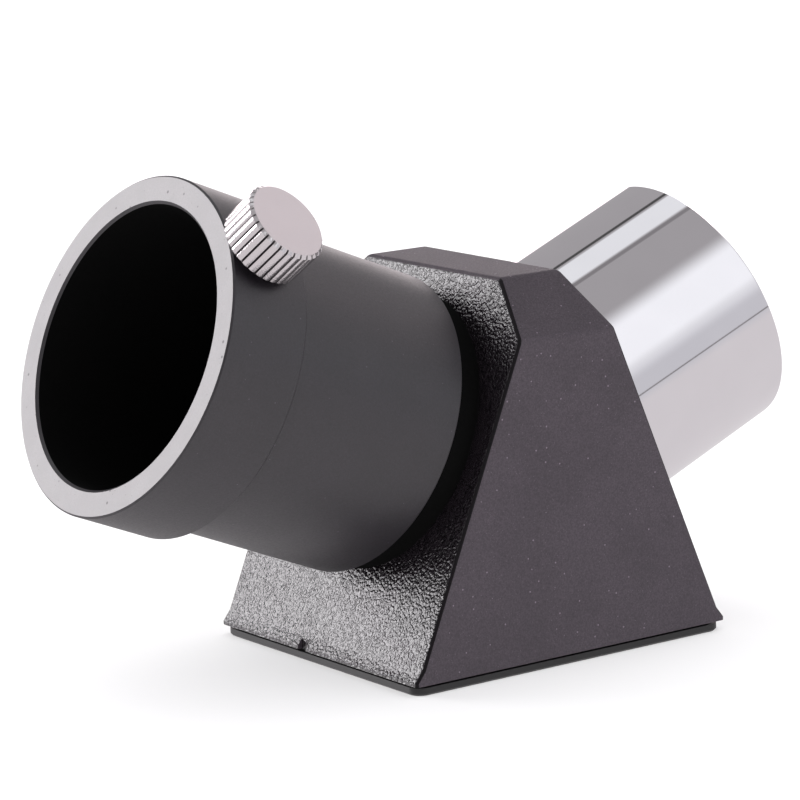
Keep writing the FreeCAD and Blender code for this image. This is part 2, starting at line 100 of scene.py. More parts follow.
def count(name, description, default, low=3):
    return IntProperty(name=name, description=description, default=default, min=low)


def number(name, description, default):
    return FloatProperty(name=name, description=description, default=default)


class DiagonalHousingSizes(bpy.types.PropertyGroup):
    shoulder_height: length("Shoulder height", "Height at which the sides start to lean in", 37.6)
    top_half_width: length("Top half width", "Half the width of the flat top", 12.65)
    edge_radius: length("Edge radius", "Rounding of the moulded edges", 0.5)
    flare: length("Flare", "How far the foot of each sloping face stands out", 0.3)
    flare_flat: length("Flare flat", "Height of the upright part of the flare", 0.4)
    flare_height: length("Flare height", "Height over which the slope runs out into the flare", 1.6)
    port_radius: length("Port radius", "Radius of the openings for the two tubes", 15.05)
    gate_offset: length("Gate offset", "Place of the moulding gate's scar along the foot", 2.8)
    gate_size: length("Gate size", "Width of the moulding gate's scar", 1.6)
    cover_corner: length("Cover corner", "Corner radius of the base cover", 1.6)
    cover_bevel: length("Cover bevel", "Rounding of the base cover's lower edge", 0.25)
    post_radius: length("Post radius", "Radius of the posts that the cover screws go into", 2.3)
    post_height: length("Post height", "Height of those posts' tops", 12.0)
    carrier_post_radius: length("Carrier post radius", "Radius of the carrier screws' posts", 1.9)
    carrier_post_height: length("Carrier post height", "Height of those posts' tops", 7.8)
    screw_room: length("Screw room", "How much deeper a screw's hole is than the screw", 0.5)
    head_radius: length("Head radius", "Radius of the countersunk screw heads", 1.85)
    head_play: length("Head play", "Play of a countersunk head in its seat", 0.1)
    cover_shank: length("Cover screw", "Shank radius of the cover screws", 1.0)
    carrier_shank: length("Carrier screw", "Shank radius of the carrier screws", 0.8)
    shank_play: length("Shank play", "Play of a cover screw's shank in the cover", 0.3)
    carrier_floor: length("Carrier floor", "Thickness of the carrier's floor, which its posts stand on", 1.2)


class DiagonalTubeSizes(bpy.types.PropertyGroup):
    collar_length: length("Collar length", "Length of the collar at the eyepiece end", 10.0)
    body_radius: length("Body radius", "Radius of the tube between collar and neck", 17.4)
    body_start: length("Body start", "Distance along the axis at which the neck widens into the body", 16.0)
    neck_radius: length("Neck radius", "Radius of the neck beside the housing", 16.2)
    spigot_radius: length("Spigot radius", "Radius of the parts that go through the housing wall", 15.0)
    stop_radius: length("Stop radius", "Inner radius of the ring that the eyepiece stops at", 13.2)
    stop_thickness: length("Stop thickness", "Thickness of that ring past the body's start", 0.8)
    rim_bevel: length("Rim bevel", "Chamfer of the tubes' outer end edges", 0.2)
    bore_bevel: length("Bore bevel", "Chamfer at the mouth of the bore", 0.3)
    step_bevel: length("Step bevel", "Chamfer of the steps at the collar and the neck", 0.25)
    nose_inner_radius: length("Nosepiece inner radius", "Radius of the light path in the nosepiece", 13.6)
    thread_pitch: length("Filter thread pitch", "Pitch of the filter thread in the nosepiece", 0.6)
    thread_depth: length("Filter thread depth", "Depth of the filter thread", 0.3)


class DiagonalScrewSizes(bpy.types.PropertyGroup):
    flutes: count("Flutes", "Grooves round the thumbscrew's knob", 32)
    flute_depth: length("Flute depth", "Depth of each groove", 0.36)
    crown: length("Crown", "How much each tooth of the grip is rounded", 0.14)
    disc_radius: length("Disc radius", "Radius of the knob's polished top", 4.5)
    disc_rounding: length("Disc rounding", "Rounding of the polished top's edge", 0.06)
    chamfer: length("Chamfer", "Height over which the knob's grip runs in to its top", 0.35)
    foot_chamfer: length("Foot chamfer", "The same at the knob's foot", 0.15)
    tang_radius: length("Tang radius", "Radius of the shank's end inside the knob", 1.6)
    thread_radius: length("Thread radius", "Outer radius of the thumbscrew's thread", 2.0)
    thread_depth: length("Thread depth", "Depth of the thumbscrew's thread", 0.43)
    thread_pitch: length("Thread pitch", "Travel of the thumbscrew in one turn", 0.7)


class DiagonalColours(bpy.types.PropertyGroup):
    moulding: colour("Moulding", "Moulded plastic of the housing", 0.068, 0.054, 0.067)
    anodised: colour("Anodised tube", "Black anodising of the eyepiece tube", 0.019, 0.0155, 0.0205)
    bare: colour("Bare rim", "Machined metal at the tube's end face", 0.405, 0.395, 0.40)
    chrome: colour("Chrome", "Chrome plate of the nosepiece", 0.80, 0.78, 0.80)
    knob: colour("Knob", "Chrome plate of the thumbscrew's knob", 0.79, 0.755, 0.765)
    steel: colour("Steel", "Screws, stud and clip", 0.56, 0.55, 0.55)
    cover: colour("Base cover", "Paint of the base cover", 0.052, 0.043, 0.051)
    blacking: colour("Blacking", "Flat black of surfaces inside the light path", 0.004, 0.004, 0.004)
    # Blacking also colours the painted shade on the eyepiece tube's neck.
    rubber: colour("Rubber", "Gasket and pads", 0.022, 0.021, 0.022)
    carrier: colour("Carrier", "Moulded prism carrier", 0.035, 0.034, 0.036)
    glass: colour("Glass", "Prism", 0.93, 0.98, 0.97)
    floor: colour("Floor", "Studio floor", 0.86, 0.86, 0.86)


class DiagonalView(bpy.types.PropertyGroup):
    azimuth: angle("Azimuth", "Camera's place round the object, from the -Y side towards +X", -35.70)
    elevation: angle("Elevation", "Camera's height above the horizon", 11.04)
    roll: angle("Roll", "Camera's turn about its own line of sight", -1.806)
    distance: length("Distance", "From the camera to the point that it looks at", 440.0)
    aim: FloatVectorProperty(name="Aim", description="The point that the camera looks at", size=3,
                             default=(-7.48 * MM, 2.52 * MM, 28.16 * MM), unit="LENGTH")
    lens: FloatProperty(name="Lens", description="Focal length on a 36 mm wide sensor, in millimetres",
                        default=173.2)
    background: number("Background", "Brightness of the backdrop as the camera sees it", 1.0)
    ambient: number("Ambient", "Brightness of the studio's walls", 0.42)
    fill_strength: number("Fill strength", "Strength of the broad light overhead", 2.4)
    fill_angle: angle("Fill angle", "How wide the broad light overhead is", 110)


GROUPS = {
    "diagonal_housing": DiagonalHousingSizes,
    "diagonal_tubes": DiagonalTubeSizes,
    "diagonal_screw": DiagonalScrewSizes,
    "diagonal_colours": DiagonalColours,
    "diagonal_view": DiagonalView,
}


# ---- measuring the engineering model ----

def height_on(axis, point):
    """Distance of a point from the crossing, measured along an axis through it."""
    return (point - CROSSING).dot(axis)


def off_axis(axis, point):
    """Distance of a point from an axis through the crossing."""
    return (point - CROSSING).cross(axis).length


def span(node, axis, origin=CROSSING):
    """Lowest and highest distance of a node along an axis."""
    reach = [(vertex.co - origin).dot(axis) for vertex in frame["nodes"][node].data.vertices]
    return min(reach), max(reach)


def radius(node, axis, origin=CROSSING):
    """Largest distance of a node from an axis."""
    away = [vertex.co - origin for vertex in frame["nodes"][node].data.vertices]
    return max((point - axis * point.dot(axis)).length for point in away)


HOUSING_HALF_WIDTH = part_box("housing")[1].y
HOUSING_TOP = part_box("housing")[1].z
HOUSING_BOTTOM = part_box("cover_gasket")[1].z
SEAT = span("nosepiece_lock_ring", NOSE_AXIS)[1]        # inner side of the sloping walls
FLANGE = radius("nosepiece_lock_ring", NOSE_AXIS) - MM
FACE = min(height_on(NOSE_AXIS, vertex.co) for vertex in frame["nodes"]["nosepiece_tube"].data.vertices
           if off_axis(NOSE_AXIS, vertex.co) > FLANGE)
WALL = FACE - SEAT


# ---- mesh building ----

def along(axis, origin=CROSSING):
    """The matrix that takes Z to the axis and the origin to the crossing."""
    return Matrix.Translation(origin) @ Vector((0, 0, 1)).rotation_difference(axis).to_matrix().to_4x4()


def rounded(bm, edges, width, segments=3):
    bmesh.ops.bevel(bm, geom=edges, offset=width, offset_type="OFFSET", segments=segments, profile=0.5,
                    affect="EDGES", material=-1)


def turned(outline, steps=192):
    """A shape of revolution about Z, from (radius, height, chamfer) corners in order."""
    bm = bmesh.new()
    corners = [bm.verts.new((r, 0, z)) for r, z, _ in outline]
    for start, end in zip(corners, corners[1:] + corners[:1]):
        bm.edges.new((start, end))
    for corner, (_, _, width) in zip(corners, outline):
        if width:
            bmesh.ops.bevel(bm, geom=[corner], offset=width, offset_type="ABSOLUTE", segments=1, profile=0.5,
                            affect="VERTICES", material=-1)
    bmesh.ops.spin(bm, geom=bm.verts[:] + bm.edges[:], cent=(0, 0, 0), axis=(0, 0, 1), dvec=(0, 0, 0),
                   angle=math.tau, steps=steps, use_merge=True)
    return bm


def rod(rod_radius, low, high, steps=64):
    """A closed cylinder on Z."""
    bm = bmesh.new()
    bmesh.ops.create_cone(bm, cap_ends=True, segments=steps, radius1=rod_radius, radius2=rod_radius,
                          depth=high - low, matrix=Matrix.Translation((0, 0, (low + high) / 2)))
    return bm


def block(low, high):
    """A closed box between two corners."""
    low, high = Vector(low), Vector(high)
    stretch = Matrix.Diagonal((*(high - low), 1))
    bm = bmesh.new()
    bmesh.ops.create_cube(bm, size=1, matrix=Matrix.Translation((low + high) / 2) @ stretch)
    return bm


def trim(bm, point, normal):
    """Cuts away what lies past a plane, and closes the cut."""
    cut = bmesh.ops.bisect_plane(bm, geom=bm.verts[:] + bm.edges[:] + bm.faces[:], plane_co=point,
                                 plane_no=normal, clear_outer=True)
    rim = [part for part in cut["geom_cut"] if isinstance(part, bmesh.types.BMEdge)]
    bmesh.ops.holes_fill(bm, edges=rim, sides=0)


def placed(bm, matrix):
    bmesh.ops.transform(bm, matrix=matrix, verts=bm.verts[:])
    return bm


def new_object(name, bm):
    """An object made of a finished bmesh, with its faces pointing outwards."""
    bmesh.ops.remove_doubles(bm, verts=bm.verts[:], dist=0.2e-6)
    bmesh.ops.recalc_face_normals(bm, faces=bm.faces[:])
    mesh = bpy.data.meshes.new(name)
    bm.to_mesh(mesh)
    bm.free()
    made = bpy.data.objects.new(name, mesh)
    bpy.context.scene.collection.objects.link(made)
    return made


def combined(piece, tools, operation="DIFFERENCE"):
    """Joins each tool shape to the piece, or cuts it away, and removes the tool."""
    for bm in tools:
        tool = new_object("tool", bm)
        modifier = piece.modifiers.new("shape", "BOOLEAN")
        modifier.operation = operation
        modifier.solver = "EXACT"
        modifier.object = tool
        whole = bpy.data.meshes.new_from_object(piece.evaluated_get(bpy.context.evaluated_depsgraph_get()))
        if not whole.polygons:
            raise RuntimeError(f"{operation} with a tool left nothing of {piece.name}")
        piece.modifiers.remove(modifier)
        spare = piece.data
        piece.data = whole
        whole.name = piece.name
        bpy.data.meshes.remove(spare)
        bpy.data.meshes.remove(tool.data)
    return piece


def check_closed(piece):
    """Raises an error if the piece's surface has an open or a shared seam."""
    bm = bmesh.new()
    bm.from_mesh(piece.data)
    seams = [edge for edge in bm.edges if len(edge.link_faces) != 2]
    bm.free()
    if seams:
        raise RuntimeError(f"{piece.name} has {len(seams)} open seams")


def finished(piece, materials, body, node, sharp=35):
    """Shades the piece, gives it its materials, and puts it on its body in place of its node."""
    check_closed(piece)
    piece.data.materials.clear()
    for material in materials:
        piece.data.materials.append(material)
    piece.data.shade_smooth()
    piece.data.set_sharp_from_angle(angle=math.radians(sharp))
    modifier = piece.modifiers.new("even_shading", "WEIGHTED_NORMAL")
    modifier.keep_sharp = True
    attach(piece, body)
    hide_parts(node)
    return piece


def paint_faces(piece, index, wanted):
    """Gives material number index to the faces for which wanted(centre, normal) holds."""
    for polygon in piece.data.polygons:
        if wanted(polygon.center, polygon.normal):
            polygon.material_index = index


def paint_node(node, material):
    """Gives a node of the engineering model, whose shape stays, its material."""
    piece = frame["nodes"][node]
    piece.data.materials.clear()
    piece.data.materials.append(material)


# ---- materials ----

class Tree:
    """A node tree under construction."""

    def __init__(self, tree):
        self.nodes = tree.nodes
        self.links = tree.links

    def add(self, kind, inputs=None, **settings):
        """A node with its settings, and with its inputs set to values or linked to sockets."""
        made = self.nodes.new(kind)
        for name, value in settings.items():
            setattr(made, name, value)
        for key, value in (inputs or {}).items():
            self.connect(value, made.inputs[key])
        return made

    def connect(self, value, socket):
        if isinstance(value, bpy.types.NodeSocket):
            self.links.new(value, socket)
        else:
            socket.default_value = value

    def remap(self, value, low, high, new_low=0.0, new_high=1.0):
        """The value from low to high, taken to new_low to new_high, smoothly and without going past."""
        made = self.add("ShaderNodeMapRange", {"Value": value, "From Min": low, "From Max": high,
                                               "To Min": new_low, "To Max": new_high},
                        interpolation_type="SMOOTHSTEP")
        return made.outputs["Result"]

    def math(self, operation, first, second=0.0):
        return self.add("ShaderNodeMath", {0: first, 1: second}, operation=operation).outputs[0]

    def blend(self, factor, first, second):
        """A mix of two colours."""
        return self.add("ShaderNodeMix", {0: factor, 6: first, 7: second}, data_type="RGBA").outputs[2]


class Shade(Tree):
    """A material's node tree."""

    def __init__(self, name):
        self.material = bpy.data.materials.new(name)
        self.material.use_nodes = True
        super().__init__(self.material.node_tree)
        self.surface = self.nodes["Principled BSDF"]
        self.place = self.add("ShaderNodeTexCoord").outputs["Object"]

    def set(self, **values):
        """Sets inputs of the surface shader, whose names have spaces for underscores."""
        for name, value in values.items():
            self.connect(value, self.surface.inputs[name.replace("_", " ")])
        return self.material

    def noise(self, size, detail=2.0, roughness=0.5, place=None):
        """Cloudy noise whose features measure about size."""
        made = self.add("ShaderNodeTexNoise", {"Vector": place or self.place, "Scale": 1 / size,
                                               "Detail": detail, "Roughness": roughness})
        return made.outputs["Fac"]

    def cells(self, size, feature="F1", place=None):
        """Distance within irregular cells that measure about size."""
        made = self.add("ShaderNodeTexVoronoi", {"Vector": place or self.place, "Scale": 1 / size},
                        feature=feature)
        return made.outputs["Distance"]

    def spread(self, noise, new_low=0.0, new_high=1.0):
        """The range in which most of a noise lies, taken to new_low to new_high."""
        return self.remap(noise, 0.3, 0.7, new_low, new_high)

    def tinted(self, factor, rgba, low, high):
        """One colour at two brightnesses, mixed by the factor."""
        return self.blend(factor, scaled(rgba, low), scaled(rgba, high))

    def bump(self, height, depth):
        """Surface relief from a height of 0 to 1, depth deep."""
        inputs = {"Height": height, "Distance": depth, "Strength": 1.0}
        return self.add("ShaderNodeBump", inputs).outputs["Normal"]

    def stretched(self, axis, factor):
        """Object coordinates in which features run long in the direction of the axis."""
        turn = axis.rotation_difference(Vector((0, 0, 1))).to_euler()
        return self.add("ShaderNodeMapping", {"Vector": self.place, "Rotation": turn,
                                              "Scale": (1, 1, 1 / factor)}).outputs["Vector"]


def scaled(rgba, factor):
    return tuple(min(channel * factor, 1.0) for channel in rgba[:3]) + (1.0,)


def fine_specks(shade, size, share):
    """1 on sparse fine specks, 0 elsewhere."""
    return shade.remap(shade.cells(size), share, share * 0.5)


def dusted(shade, base, rgba, size, share, strength):
    """The base colour with sparse paler specks on it, of four times its colour."""
    specks = fine_specks(shade, size, share)
    return shade.blend(shade.math("MULTIPLY", specks, strength), base, scaled(rgba, 4))


def mottled(shade, rgba, grain_size, cloud_size):
    """A colour with fine mottling and broad faint clouds."""
    cloud = shade.remap(shade.noise(cloud_size, 2.0), 0.35, 0.65)
    grain = shade.spread(shade.noise(grain_size, 2.0, 0.6))
    broad = shade.tinted(cloud, rgba, 0.93, 1.07)
    light = shade.tinted(cloud, rgba, 1.18, 1.36)
    return shade.blend(grain, shade.blend(0.5, broad, scaled(rgba, 0.6)), light)


def matt_moulding(colours):
    """Fine-grained moulded plastic: the housing's sides and top."""
    shade = Shade("matt_moulding")
    grain = shade.noise(0.22 * MM, 3.0, 0.6)
    base = mottled(shade, colours.moulding, 0.2 * MM, 9 * MM)
    base = dusted(shade, base, colours.moulding, 0.42 * MM, 0.15, 0.4)
    base = dusted(shade, base, colours.moulding, 1.3 * MM, 0.1, 0.9)
    shade.set(Base_Color=base, Roughness=shade.spread(grain, 0.5, 0.64))
    return shade.set(Normal=shade.bump(grain, 0.022 * MM))


def grained_moulding(colours):
    """Glossy leather-grained moulded plastic: the housing's sloping faces."""
    shade = Shade("grained_moulding")
    warp = shade.add("ShaderNodeTexNoise", {"Vector": shade.place, "Scale": 1 / (0.8 * MM), "Detail": 2.0})
    shift = shade.add("ShaderNodeVectorMath", {0: warp.outputs["Color"], "Scale": 0.5 * MM},
                      operation="SCALE")
    place = shade.add("ShaderNodeVectorMath", {0: shade.place, 1: shift.outputs[0]},
                      operation="ADD").outputs[0]
    pebble = shade.remap(shade.cells(0.33 * MM, "SMOOTH_F1", place=place), 0.75, 0.1)
    fine = shade.noise(0.2 * MM, 2.0)
    height = shade.math("ADD", shade.math("MULTIPLY", pebble, 0.75), shade.math("MULTIPLY", fine, 0.6))
    # The colour follows the grain's relief, darker in its hollows than on its crests: painted shade in the
    # hollows.
    base = shade.tinted(pebble, colours.moulding, 0.14, 0.34)
    shade.set(Base_Color=base, Roughness=shade.spread(fine, 0.14, 0.24), Specular_IOR_Level=1.0)
    return shade.set(Normal=shade.bump(height, 0.085 * MM))


def edge_painted_shade(colours):
    """Painted shade: the smooth rounded edge between a grained slope and a side, darkened for the dark line that
    reflections draw along it.
    """
    shade = Shade("edge_painted_shade")
    grain = shade.noise(0.3 * MM, 2.0)
    return shade.set(Base_Color=scaled(colours.moulding, 0.1), Specular_IOR_Level=0.2,
                     Roughness=shade.spread(grain, 0.3, 0.45))


def black_anodising(colours):
    """Satin black anodised aluminium with a trace of turning marks."""
    shade = Shade("black_anodising")
    marks = shade.noise(0.25 * MM, 3.0, 0.7)
    base = mottled(shade, colours.anodised, 0.2 * MM, 6 * MM)
    base = dusted(shade, base, colours.anodised, 0.45 * MM, 0.12, 0.5)
    base = dusted(shade, base, colours.anodised, 1.6 * MM, 0.07, 1.0)
    shade.set(Base_Color=base, Roughness=shade.spread(marks, 0.38, 0.48), Specular_IOR_Level=0.9)
    return shade.set(Normal=shade.bump(marks, 0.016 * MM))


def bare_rim(colours):
    """Machined bare metal, lightly blasted, with fine pits."""
    shade = Shade("bare_rim")
    grain = shade.noise(0.18 * MM, 3.0, 0.7)
    cloud = shade.remap(shade.noise(3 * MM, 2.0), 0.35, 0.65)
    pits = shade.math("MAXIMUM", fine_specks(shade, 1.9 * MM, 0.12), fine_specks(shade, 0.8 * MM, 0.08))
    base = shade.tinted(shade.spread(grain), colours.bare, 0.92, 1.06)
    base = shade.blend(shade.math("MULTIPLY", cloud, 0.4), base, scaled(colours.bare, 0.9))
    base = shade.blend(shade.math("MULTIPLY", pits, 0.7), base, scaled(colours.bare, 0.25))
    shade.set(Base_Color=base, Metallic=0.2, Roughness=shade.spread(grain, 0.5, 0.62))
    return shade.set(Normal=shade.bump(shade.math("SUBTRACT", grain, pits), 0.01 * MM))


def polished_chrome(shade, rgba, axis, low, high):
    """Chrome plate with faint polishing lines round the axis, between two roughnesses."""
    lines = shade.noise(0.3 * MM, 2.0, place=shade.stretched(axis, 0.2))
    cloud = shade.noise(5 * MM, 1.0)
    shade.set(Roughness=shade.spread(lines, low, high), Metallic=1.0)
    return shade.tinted(cloud, rgba, 0.97, 1.02)


def barrel_chrome(colours):
    """Bright chrome of the nosepiece."""
    shade = Shade("barrel_chrome")
    return shade.set(Base_Color=polished_chrome(shade, colours.chrome, NOSE_AXIS, 0.02, 0.045))


def grip_chrome(colours):
    """Chrome on the crests of the knob's grip, with drawn streaks along them."""
    shade = Shade("grip_chrome")
    streaks = shade.noise(0.12 * MM, 2.0, place=shade.stretched(SCREW_AXIS, 14))
    shade.set(Base_Color=polished_chrome(shade, colours.knob, SCREW_AXIS, 0.12, 0.26))
    return shade.set(Normal=shade.bump(streaks, 0.02 * MM))


def flute_chrome_painted_shade(colours):
    """The same plate in the knob's flutes, duller, and darkened as painted shade in the grooves."""
    shade = Shade("flute_chrome_painted_shade")
    return shade.set(Base_Color=polished_chrome(shade, scaled(colours.knob, 0.42), SCREW_AXIS, 0.25, 0.4))


def disc_chrome(colours):
    """Satin chrome of the knob's flat top, with a few tiny marks."""
    shade = Shade("disc_chrome")
    marks = fine_specks(shade, 1.7 * MM, 0.07)
    chrome = polished_chrome(shade, scaled(colours.knob, 0.88), SCREW_AXIS, 0.2, 0.27)
    base = shade.blend(shade.math("MULTIPLY", marks, 0.45), chrome, scaled(colours.knob, 0.35))
    return shade.set(Base_Color=base)


def flat_black(colours):
    """Flat black lining of the light path, also laid on the eyepiece tube's neck as painted shade."""
    shade = Shade("flat_black")
    grain = shade.noise(0.3 * MM, 2.0)
    shade.set(Base_Color=shade.tinted(grain, colours.blacking, 0.6, 1.4),
              Roughness=0.95, Specular_IOR_Level=0.1)
    return shade.set(Normal=shade.bump(grain, 0.01 * MM))


def steel(colours):
    """Plain bright steel with fine brushing."""
    shade = Shade("bright_steel")
    lines = shade.noise(0.15 * MM, 3.0, place=shade.stretched(Vector((0, 1, 0)), 6))
    base = shade.tinted(lines, colours.steel, 0.85, 1.1)
    shade.set(Base_Color=base, Metallic=1.0, Roughness=shade.spread(lines, 0.28, 0.42))
    return shade.set(Normal=shade.bump(lines, 0.003 * MM))


def cover_paint(colours):
    """Satin black paint on the base cover."""
    shade = Shade("cover_paint")
    peel = shade.noise(0.6 * MM, 2.0)
    base = shade.tinted(peel, colours.cover, 0.85, 1.15)
    shade.set(Base_Color=base, Roughness=shade.spread(peel, 0.2, 0.3), Specular_IOR_Level=1.0)
    return shade.set(Normal=shade.bump(peel, 0.01 * MM))


def soft_black(name, rgba, low, high):
    """Rubber or moulded plastic inside the housing, between two roughnesses."""
    shade = Shade(name)
    grain = shade.noise(0.25 * MM, 3.0, 0.6)
    shade.set(Base_Color=shade.tinted(grain, rgba, 0.8, 1.2))
    shade.set(Roughness=shade.spread(grain, low, high))
    return shade.set(Normal=shade.bump(grain, 0.01 * MM))


def prism_glass(colours):
    """Polished optical glass with a faint coating bloom."""
    shade = Shade("prism_glass")
    bloom = shade.noise(8 * MM, 1.0)
    shade.set(Base_Color=shade.blend(bloom, scaled(colours.glass, 0.98), colours.glass[:]), IOR=1.52)
    return shade.set(Transmission_Weight=1.0, Roughness=shade.spread(bloom, 0.0, 0.015))


def kept(name, make, *values):
    """The material of that name, made once."""
    return bpy.data.materials.get(name) or make(*values)


# ---- housing ----

def half_length(z):
    """Half the housing's length at height z, between its two slopes."""
    return (FACE - (z - CROSSING.z) * math.sin(TILT)) / math.cos(TILT)


def housing_form(sizes, inset, low):
    """The housing's form as a plain block, moved in by inset, from height low up."""
    reach = 2 * half_length(low)
    side = HOUSING_HALF_WIDTH - inset
    bm = block((-reach, -side, low), (reach, side, HOUSING_TOP - inset))
    for axis in (EYEPIECE_AXIS, NOSE_AXIS):
        trim(bm, CROSSING + axis * (FACE - inset), axis)
    rise = HOUSING_TOP - sizes.shoulder_height
    run = HOUSING_HALF_WIDTH - sizes.top_half_width
    for way in (-1, 1):
        normal = Vector((0, way * rise, run)).normalized()
        trim(bm, Vector((0, way * HOUSING_HALF_WIDTH, sizes.shoulder_height)) - normal * inset, normal)
    return bm


def flared(bm, sizes):
    """Moves the foot of both slopes out to a small upright flare."""
    flat_top = HOUSING_BOTTOM + sizes.flare_flat
    for height in (flat_top, HOUSING_BOTTOM + sizes.flare_height):
        bmesh.ops.bisect_plane(bm, geom=bm.verts[:] + bm.edges[:] + bm.faces[:], plane_co=(0, 0, height),
                               plane_no=(0, 0, 1))
    out = half_length(HOUSING_BOTTOM) + sizes.flare
    for vertex in bm.verts:
        if vertex.co.z < flat_top + EPSILON:
            vertex.co.x += math.copysign(out - half_length(vertex.co.z), vertex.co.x)
    return bm


def post_places():
    """Centres of the cover screws, and of the carrier screws."""
    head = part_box("cover_screws")[1]
    sizes = bpy.context.scene.diagonal_housing
    x, y = head.x - sizes.head_radius, head.y - sizes.head_radius
    carrier_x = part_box("carrier_screws")[1].x - sizes.head_radius
    return [(sx * x, sy * y) for sx in (-1, 1) for sy in (-1, 1)], [(-carrier_x, 0), (carrier_x, 0)]


def rods_at(places, rod_radius, low, high):
    """Upright closed cylinders in one mesh."""
    bm = bmesh.new()
    for x, y in places:
        bmesh.ops.create_cone(bm, cap_ends=True, segments=48, radius1=rod_radius, radius2=rod_radius,
                              depth=high - low, matrix=Matrix.Translation((x, y, (low + high) / 2)))
    return bm


def screw_posts(sizes):
    """The posts inside the housing, trimmed to its walls."""
    cover_screws, carrier_screws = post_places()
    posts = rods_at(cover_screws, sizes.post_radius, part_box("housing")[0].z, sizes.post_height)
    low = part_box("prism_carrier")[0].z + sizes.carrier_floor
    for x, y in carrier_screws:
        bmesh.ops.create_cone(posts, cap_ends=True, segments=48, radius1=sizes.carrier_post_radius,
                              radius2=sizes.carrier_post_radius, depth=sizes.carrier_post_height - low,
                              matrix=Matrix.Translation((x, y, (sizes.carrier_post_height + low) / 2)))
    limit = housing_form(sizes, WALL / 2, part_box("housing")[0].z - MM)
    trimmed = combined(new_object("posts", posts), [limit], "INTERSECT")
    bm = bmesh.new()
    bm.from_mesh(trimmed.data)
    bpy.data.meshes.remove(trimmed.data)
    return bm


def screw_holes(sizes):
    cover_screws, carrier_screws = post_places()
    return [rods_at(places, shank + PLAY, 0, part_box(node)[1].z + sizes.screw_room)
            for places, shank, node in ((cover_screws, sizes.cover_shank, "cover_screws"),
                                        (carrier_screws, sizes.carrier_shank, "carrier_screws"))]


def gate_scar(sizes):
    """A notch at the foot of the slope under the eyepiece tube, where the moulding gate broke off."""
    outside = half_length(HOUSING_BOTTOM) + sizes.flare
    half = sizes.gate_size / 2
    deep, tall = 0.4 * sizes.gate_size, 0.8 * sizes.gate_size
    return block((-outside - MM, sizes.gate_offset - half, HOUSING_BOTTOM - MM),
                 (-outside + deep, sizes.gate_offset + half, HOUSING_BOTTOM + tall))


def housing_shell(sizes):
    form = housing_form(sizes, 0, HOUSING_BOTTOM)
    edges = [edge for edge in form.edges if max(vertex.co.z for vertex in edge.verts) > HOUSING_BOTTOM + MM]
    rounded(form, edges, sizes.edge_radius, segments=4)
    shell = new_object("housing_shell", flared(form, sizes))
    ports = [placed(rod(sizes.port_radius, SEAT - MM, FACE + 2 * MM, 128), along(axis))
             for axis in (EYEPIECE_AXIS, NOSE_AXIS)]
    combined(shell, [housing_form(sizes, WALL, HOUSING_BOTTOM - MM), gate_scar(sizes)])
    combined(shell, [screw_posts(sizes)], "UNION")
    return combined(shell, ports + screw_holes(sizes))


class BuildHousing(bpy.types.Operator):
    """Moulds the housing: a hollow block with a grained slope for each tube"""
    bl_idname = "diagonal.housing"
    bl_label = "Housing"

    def execute(self, context):
        colours = context.scene.diagonal_colours
        shell = housing_shell(context.scene.diagonal_housing)
        materials = [kept(maker.__name__, maker, colours)
                     for maker in (matt_moulding, grained_moulding, edge_painted_shade)]
        finished(shell, materials, "diagonal", "housing")
        paint_faces(shell, 1, lambda centre, normal: abs(normal.x) > 0.7
                    and abs(centre.x) > half_length(centre.z) - WALL / 2)
        # Material 2, on the rounded edges between slopes and sides, is painted shade.
        paint_faces(shell, 2, lambda centre, normal: 0.2 < abs(normal.x) < 0.9 and abs(normal.y) > 0.2
                    and abs(centre.x) > half_length(centre.z) - 2 * WALL
                    and abs(centre.y) > HOUSING_HALF_WIDTH / 2)
        return {"FINISHED"}


class BuildBaseCover(bpy.types.Operator):
    """Presses the base cover, with a seat for each countersunk screw"""
    bl_idname = "diagonal.base_cover"
    bl_label = "Base Cover"

    def execute(self, context):
        sizes = context.scene.diagonal_housing
        low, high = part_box("base_cover")
        bm = block(low, high)
        rounded(bm, [edge for edge in bm.edges if abs(edge.verts[0].co.z - edge.verts[1].co.z) > high.z / 2],
                sizes.cover_corner, segments=8)
        rounded(bm, [edge for edge in bm.edges if max(v.co.z for v in edge.verts) < low.z + EPSILON],
                sizes.cover_bevel, segments=1)
        cover_screws, _ = post_places()
        wide = sizes.head_radius + sizes.head_play
        seats = bmesh.new()
        for x, y in cover_screws:
            bmesh.ops.create_cone(seats, cap_ends=True, segments=64, radius1=wide, radius2=wide - high.z,
                                  depth=high.z, matrix=Matrix.Translation((x, y, high.z / 2)))
        neck = rods_at(cover_screws, sizes.cover_shank + sizes.shank_play, -MM, high.z + MM)
        cover = combined(new_object("base_cover_plate", bm), [seats, neck])
        finished(cover, [kept("cover_paint", cover_paint, context.scene.diagonal_colours)], "diagonal",
                 "base_cover")
        return {"FINISHED"}


# ---- tubes ----

def eyepiece_outline(sizes):
    """Corners (radius, distance, chamfer) of the eyepiece tube's section."""
    low, end = span("eyepiece_tube", EYEPIECE_AXIS)
    collar_radius = radius("eyepiece_tube", EYEPIECE_AXIS)
    collar_start = end - sizes.collar_length
    stop = sizes.body_start + sizes.stop_thickness
    return [
        (sizes.stop_radius, low, 0),
        (sizes.spigot_radius, low, 0),
        (sizes.spigot_radius, FACE, 0),
        (sizes.neck_radius, FACE, 0),
        (sizes.neck_radius, sizes.body_start, 0),
        (sizes.body_radius, sizes.body_start, sizes.step_bevel),
        (sizes.body_radius, collar_start, 0),
        (collar_radius, collar_start, sizes.step_bevel),
        (collar_radius, end, sizes.rim_bevel),
        (BORE_RADIUS, end, sizes.bore_bevel),
        (BORE_RADIUS, stop, 0),
        (sizes.stop_radius, stop, 0),
    ]


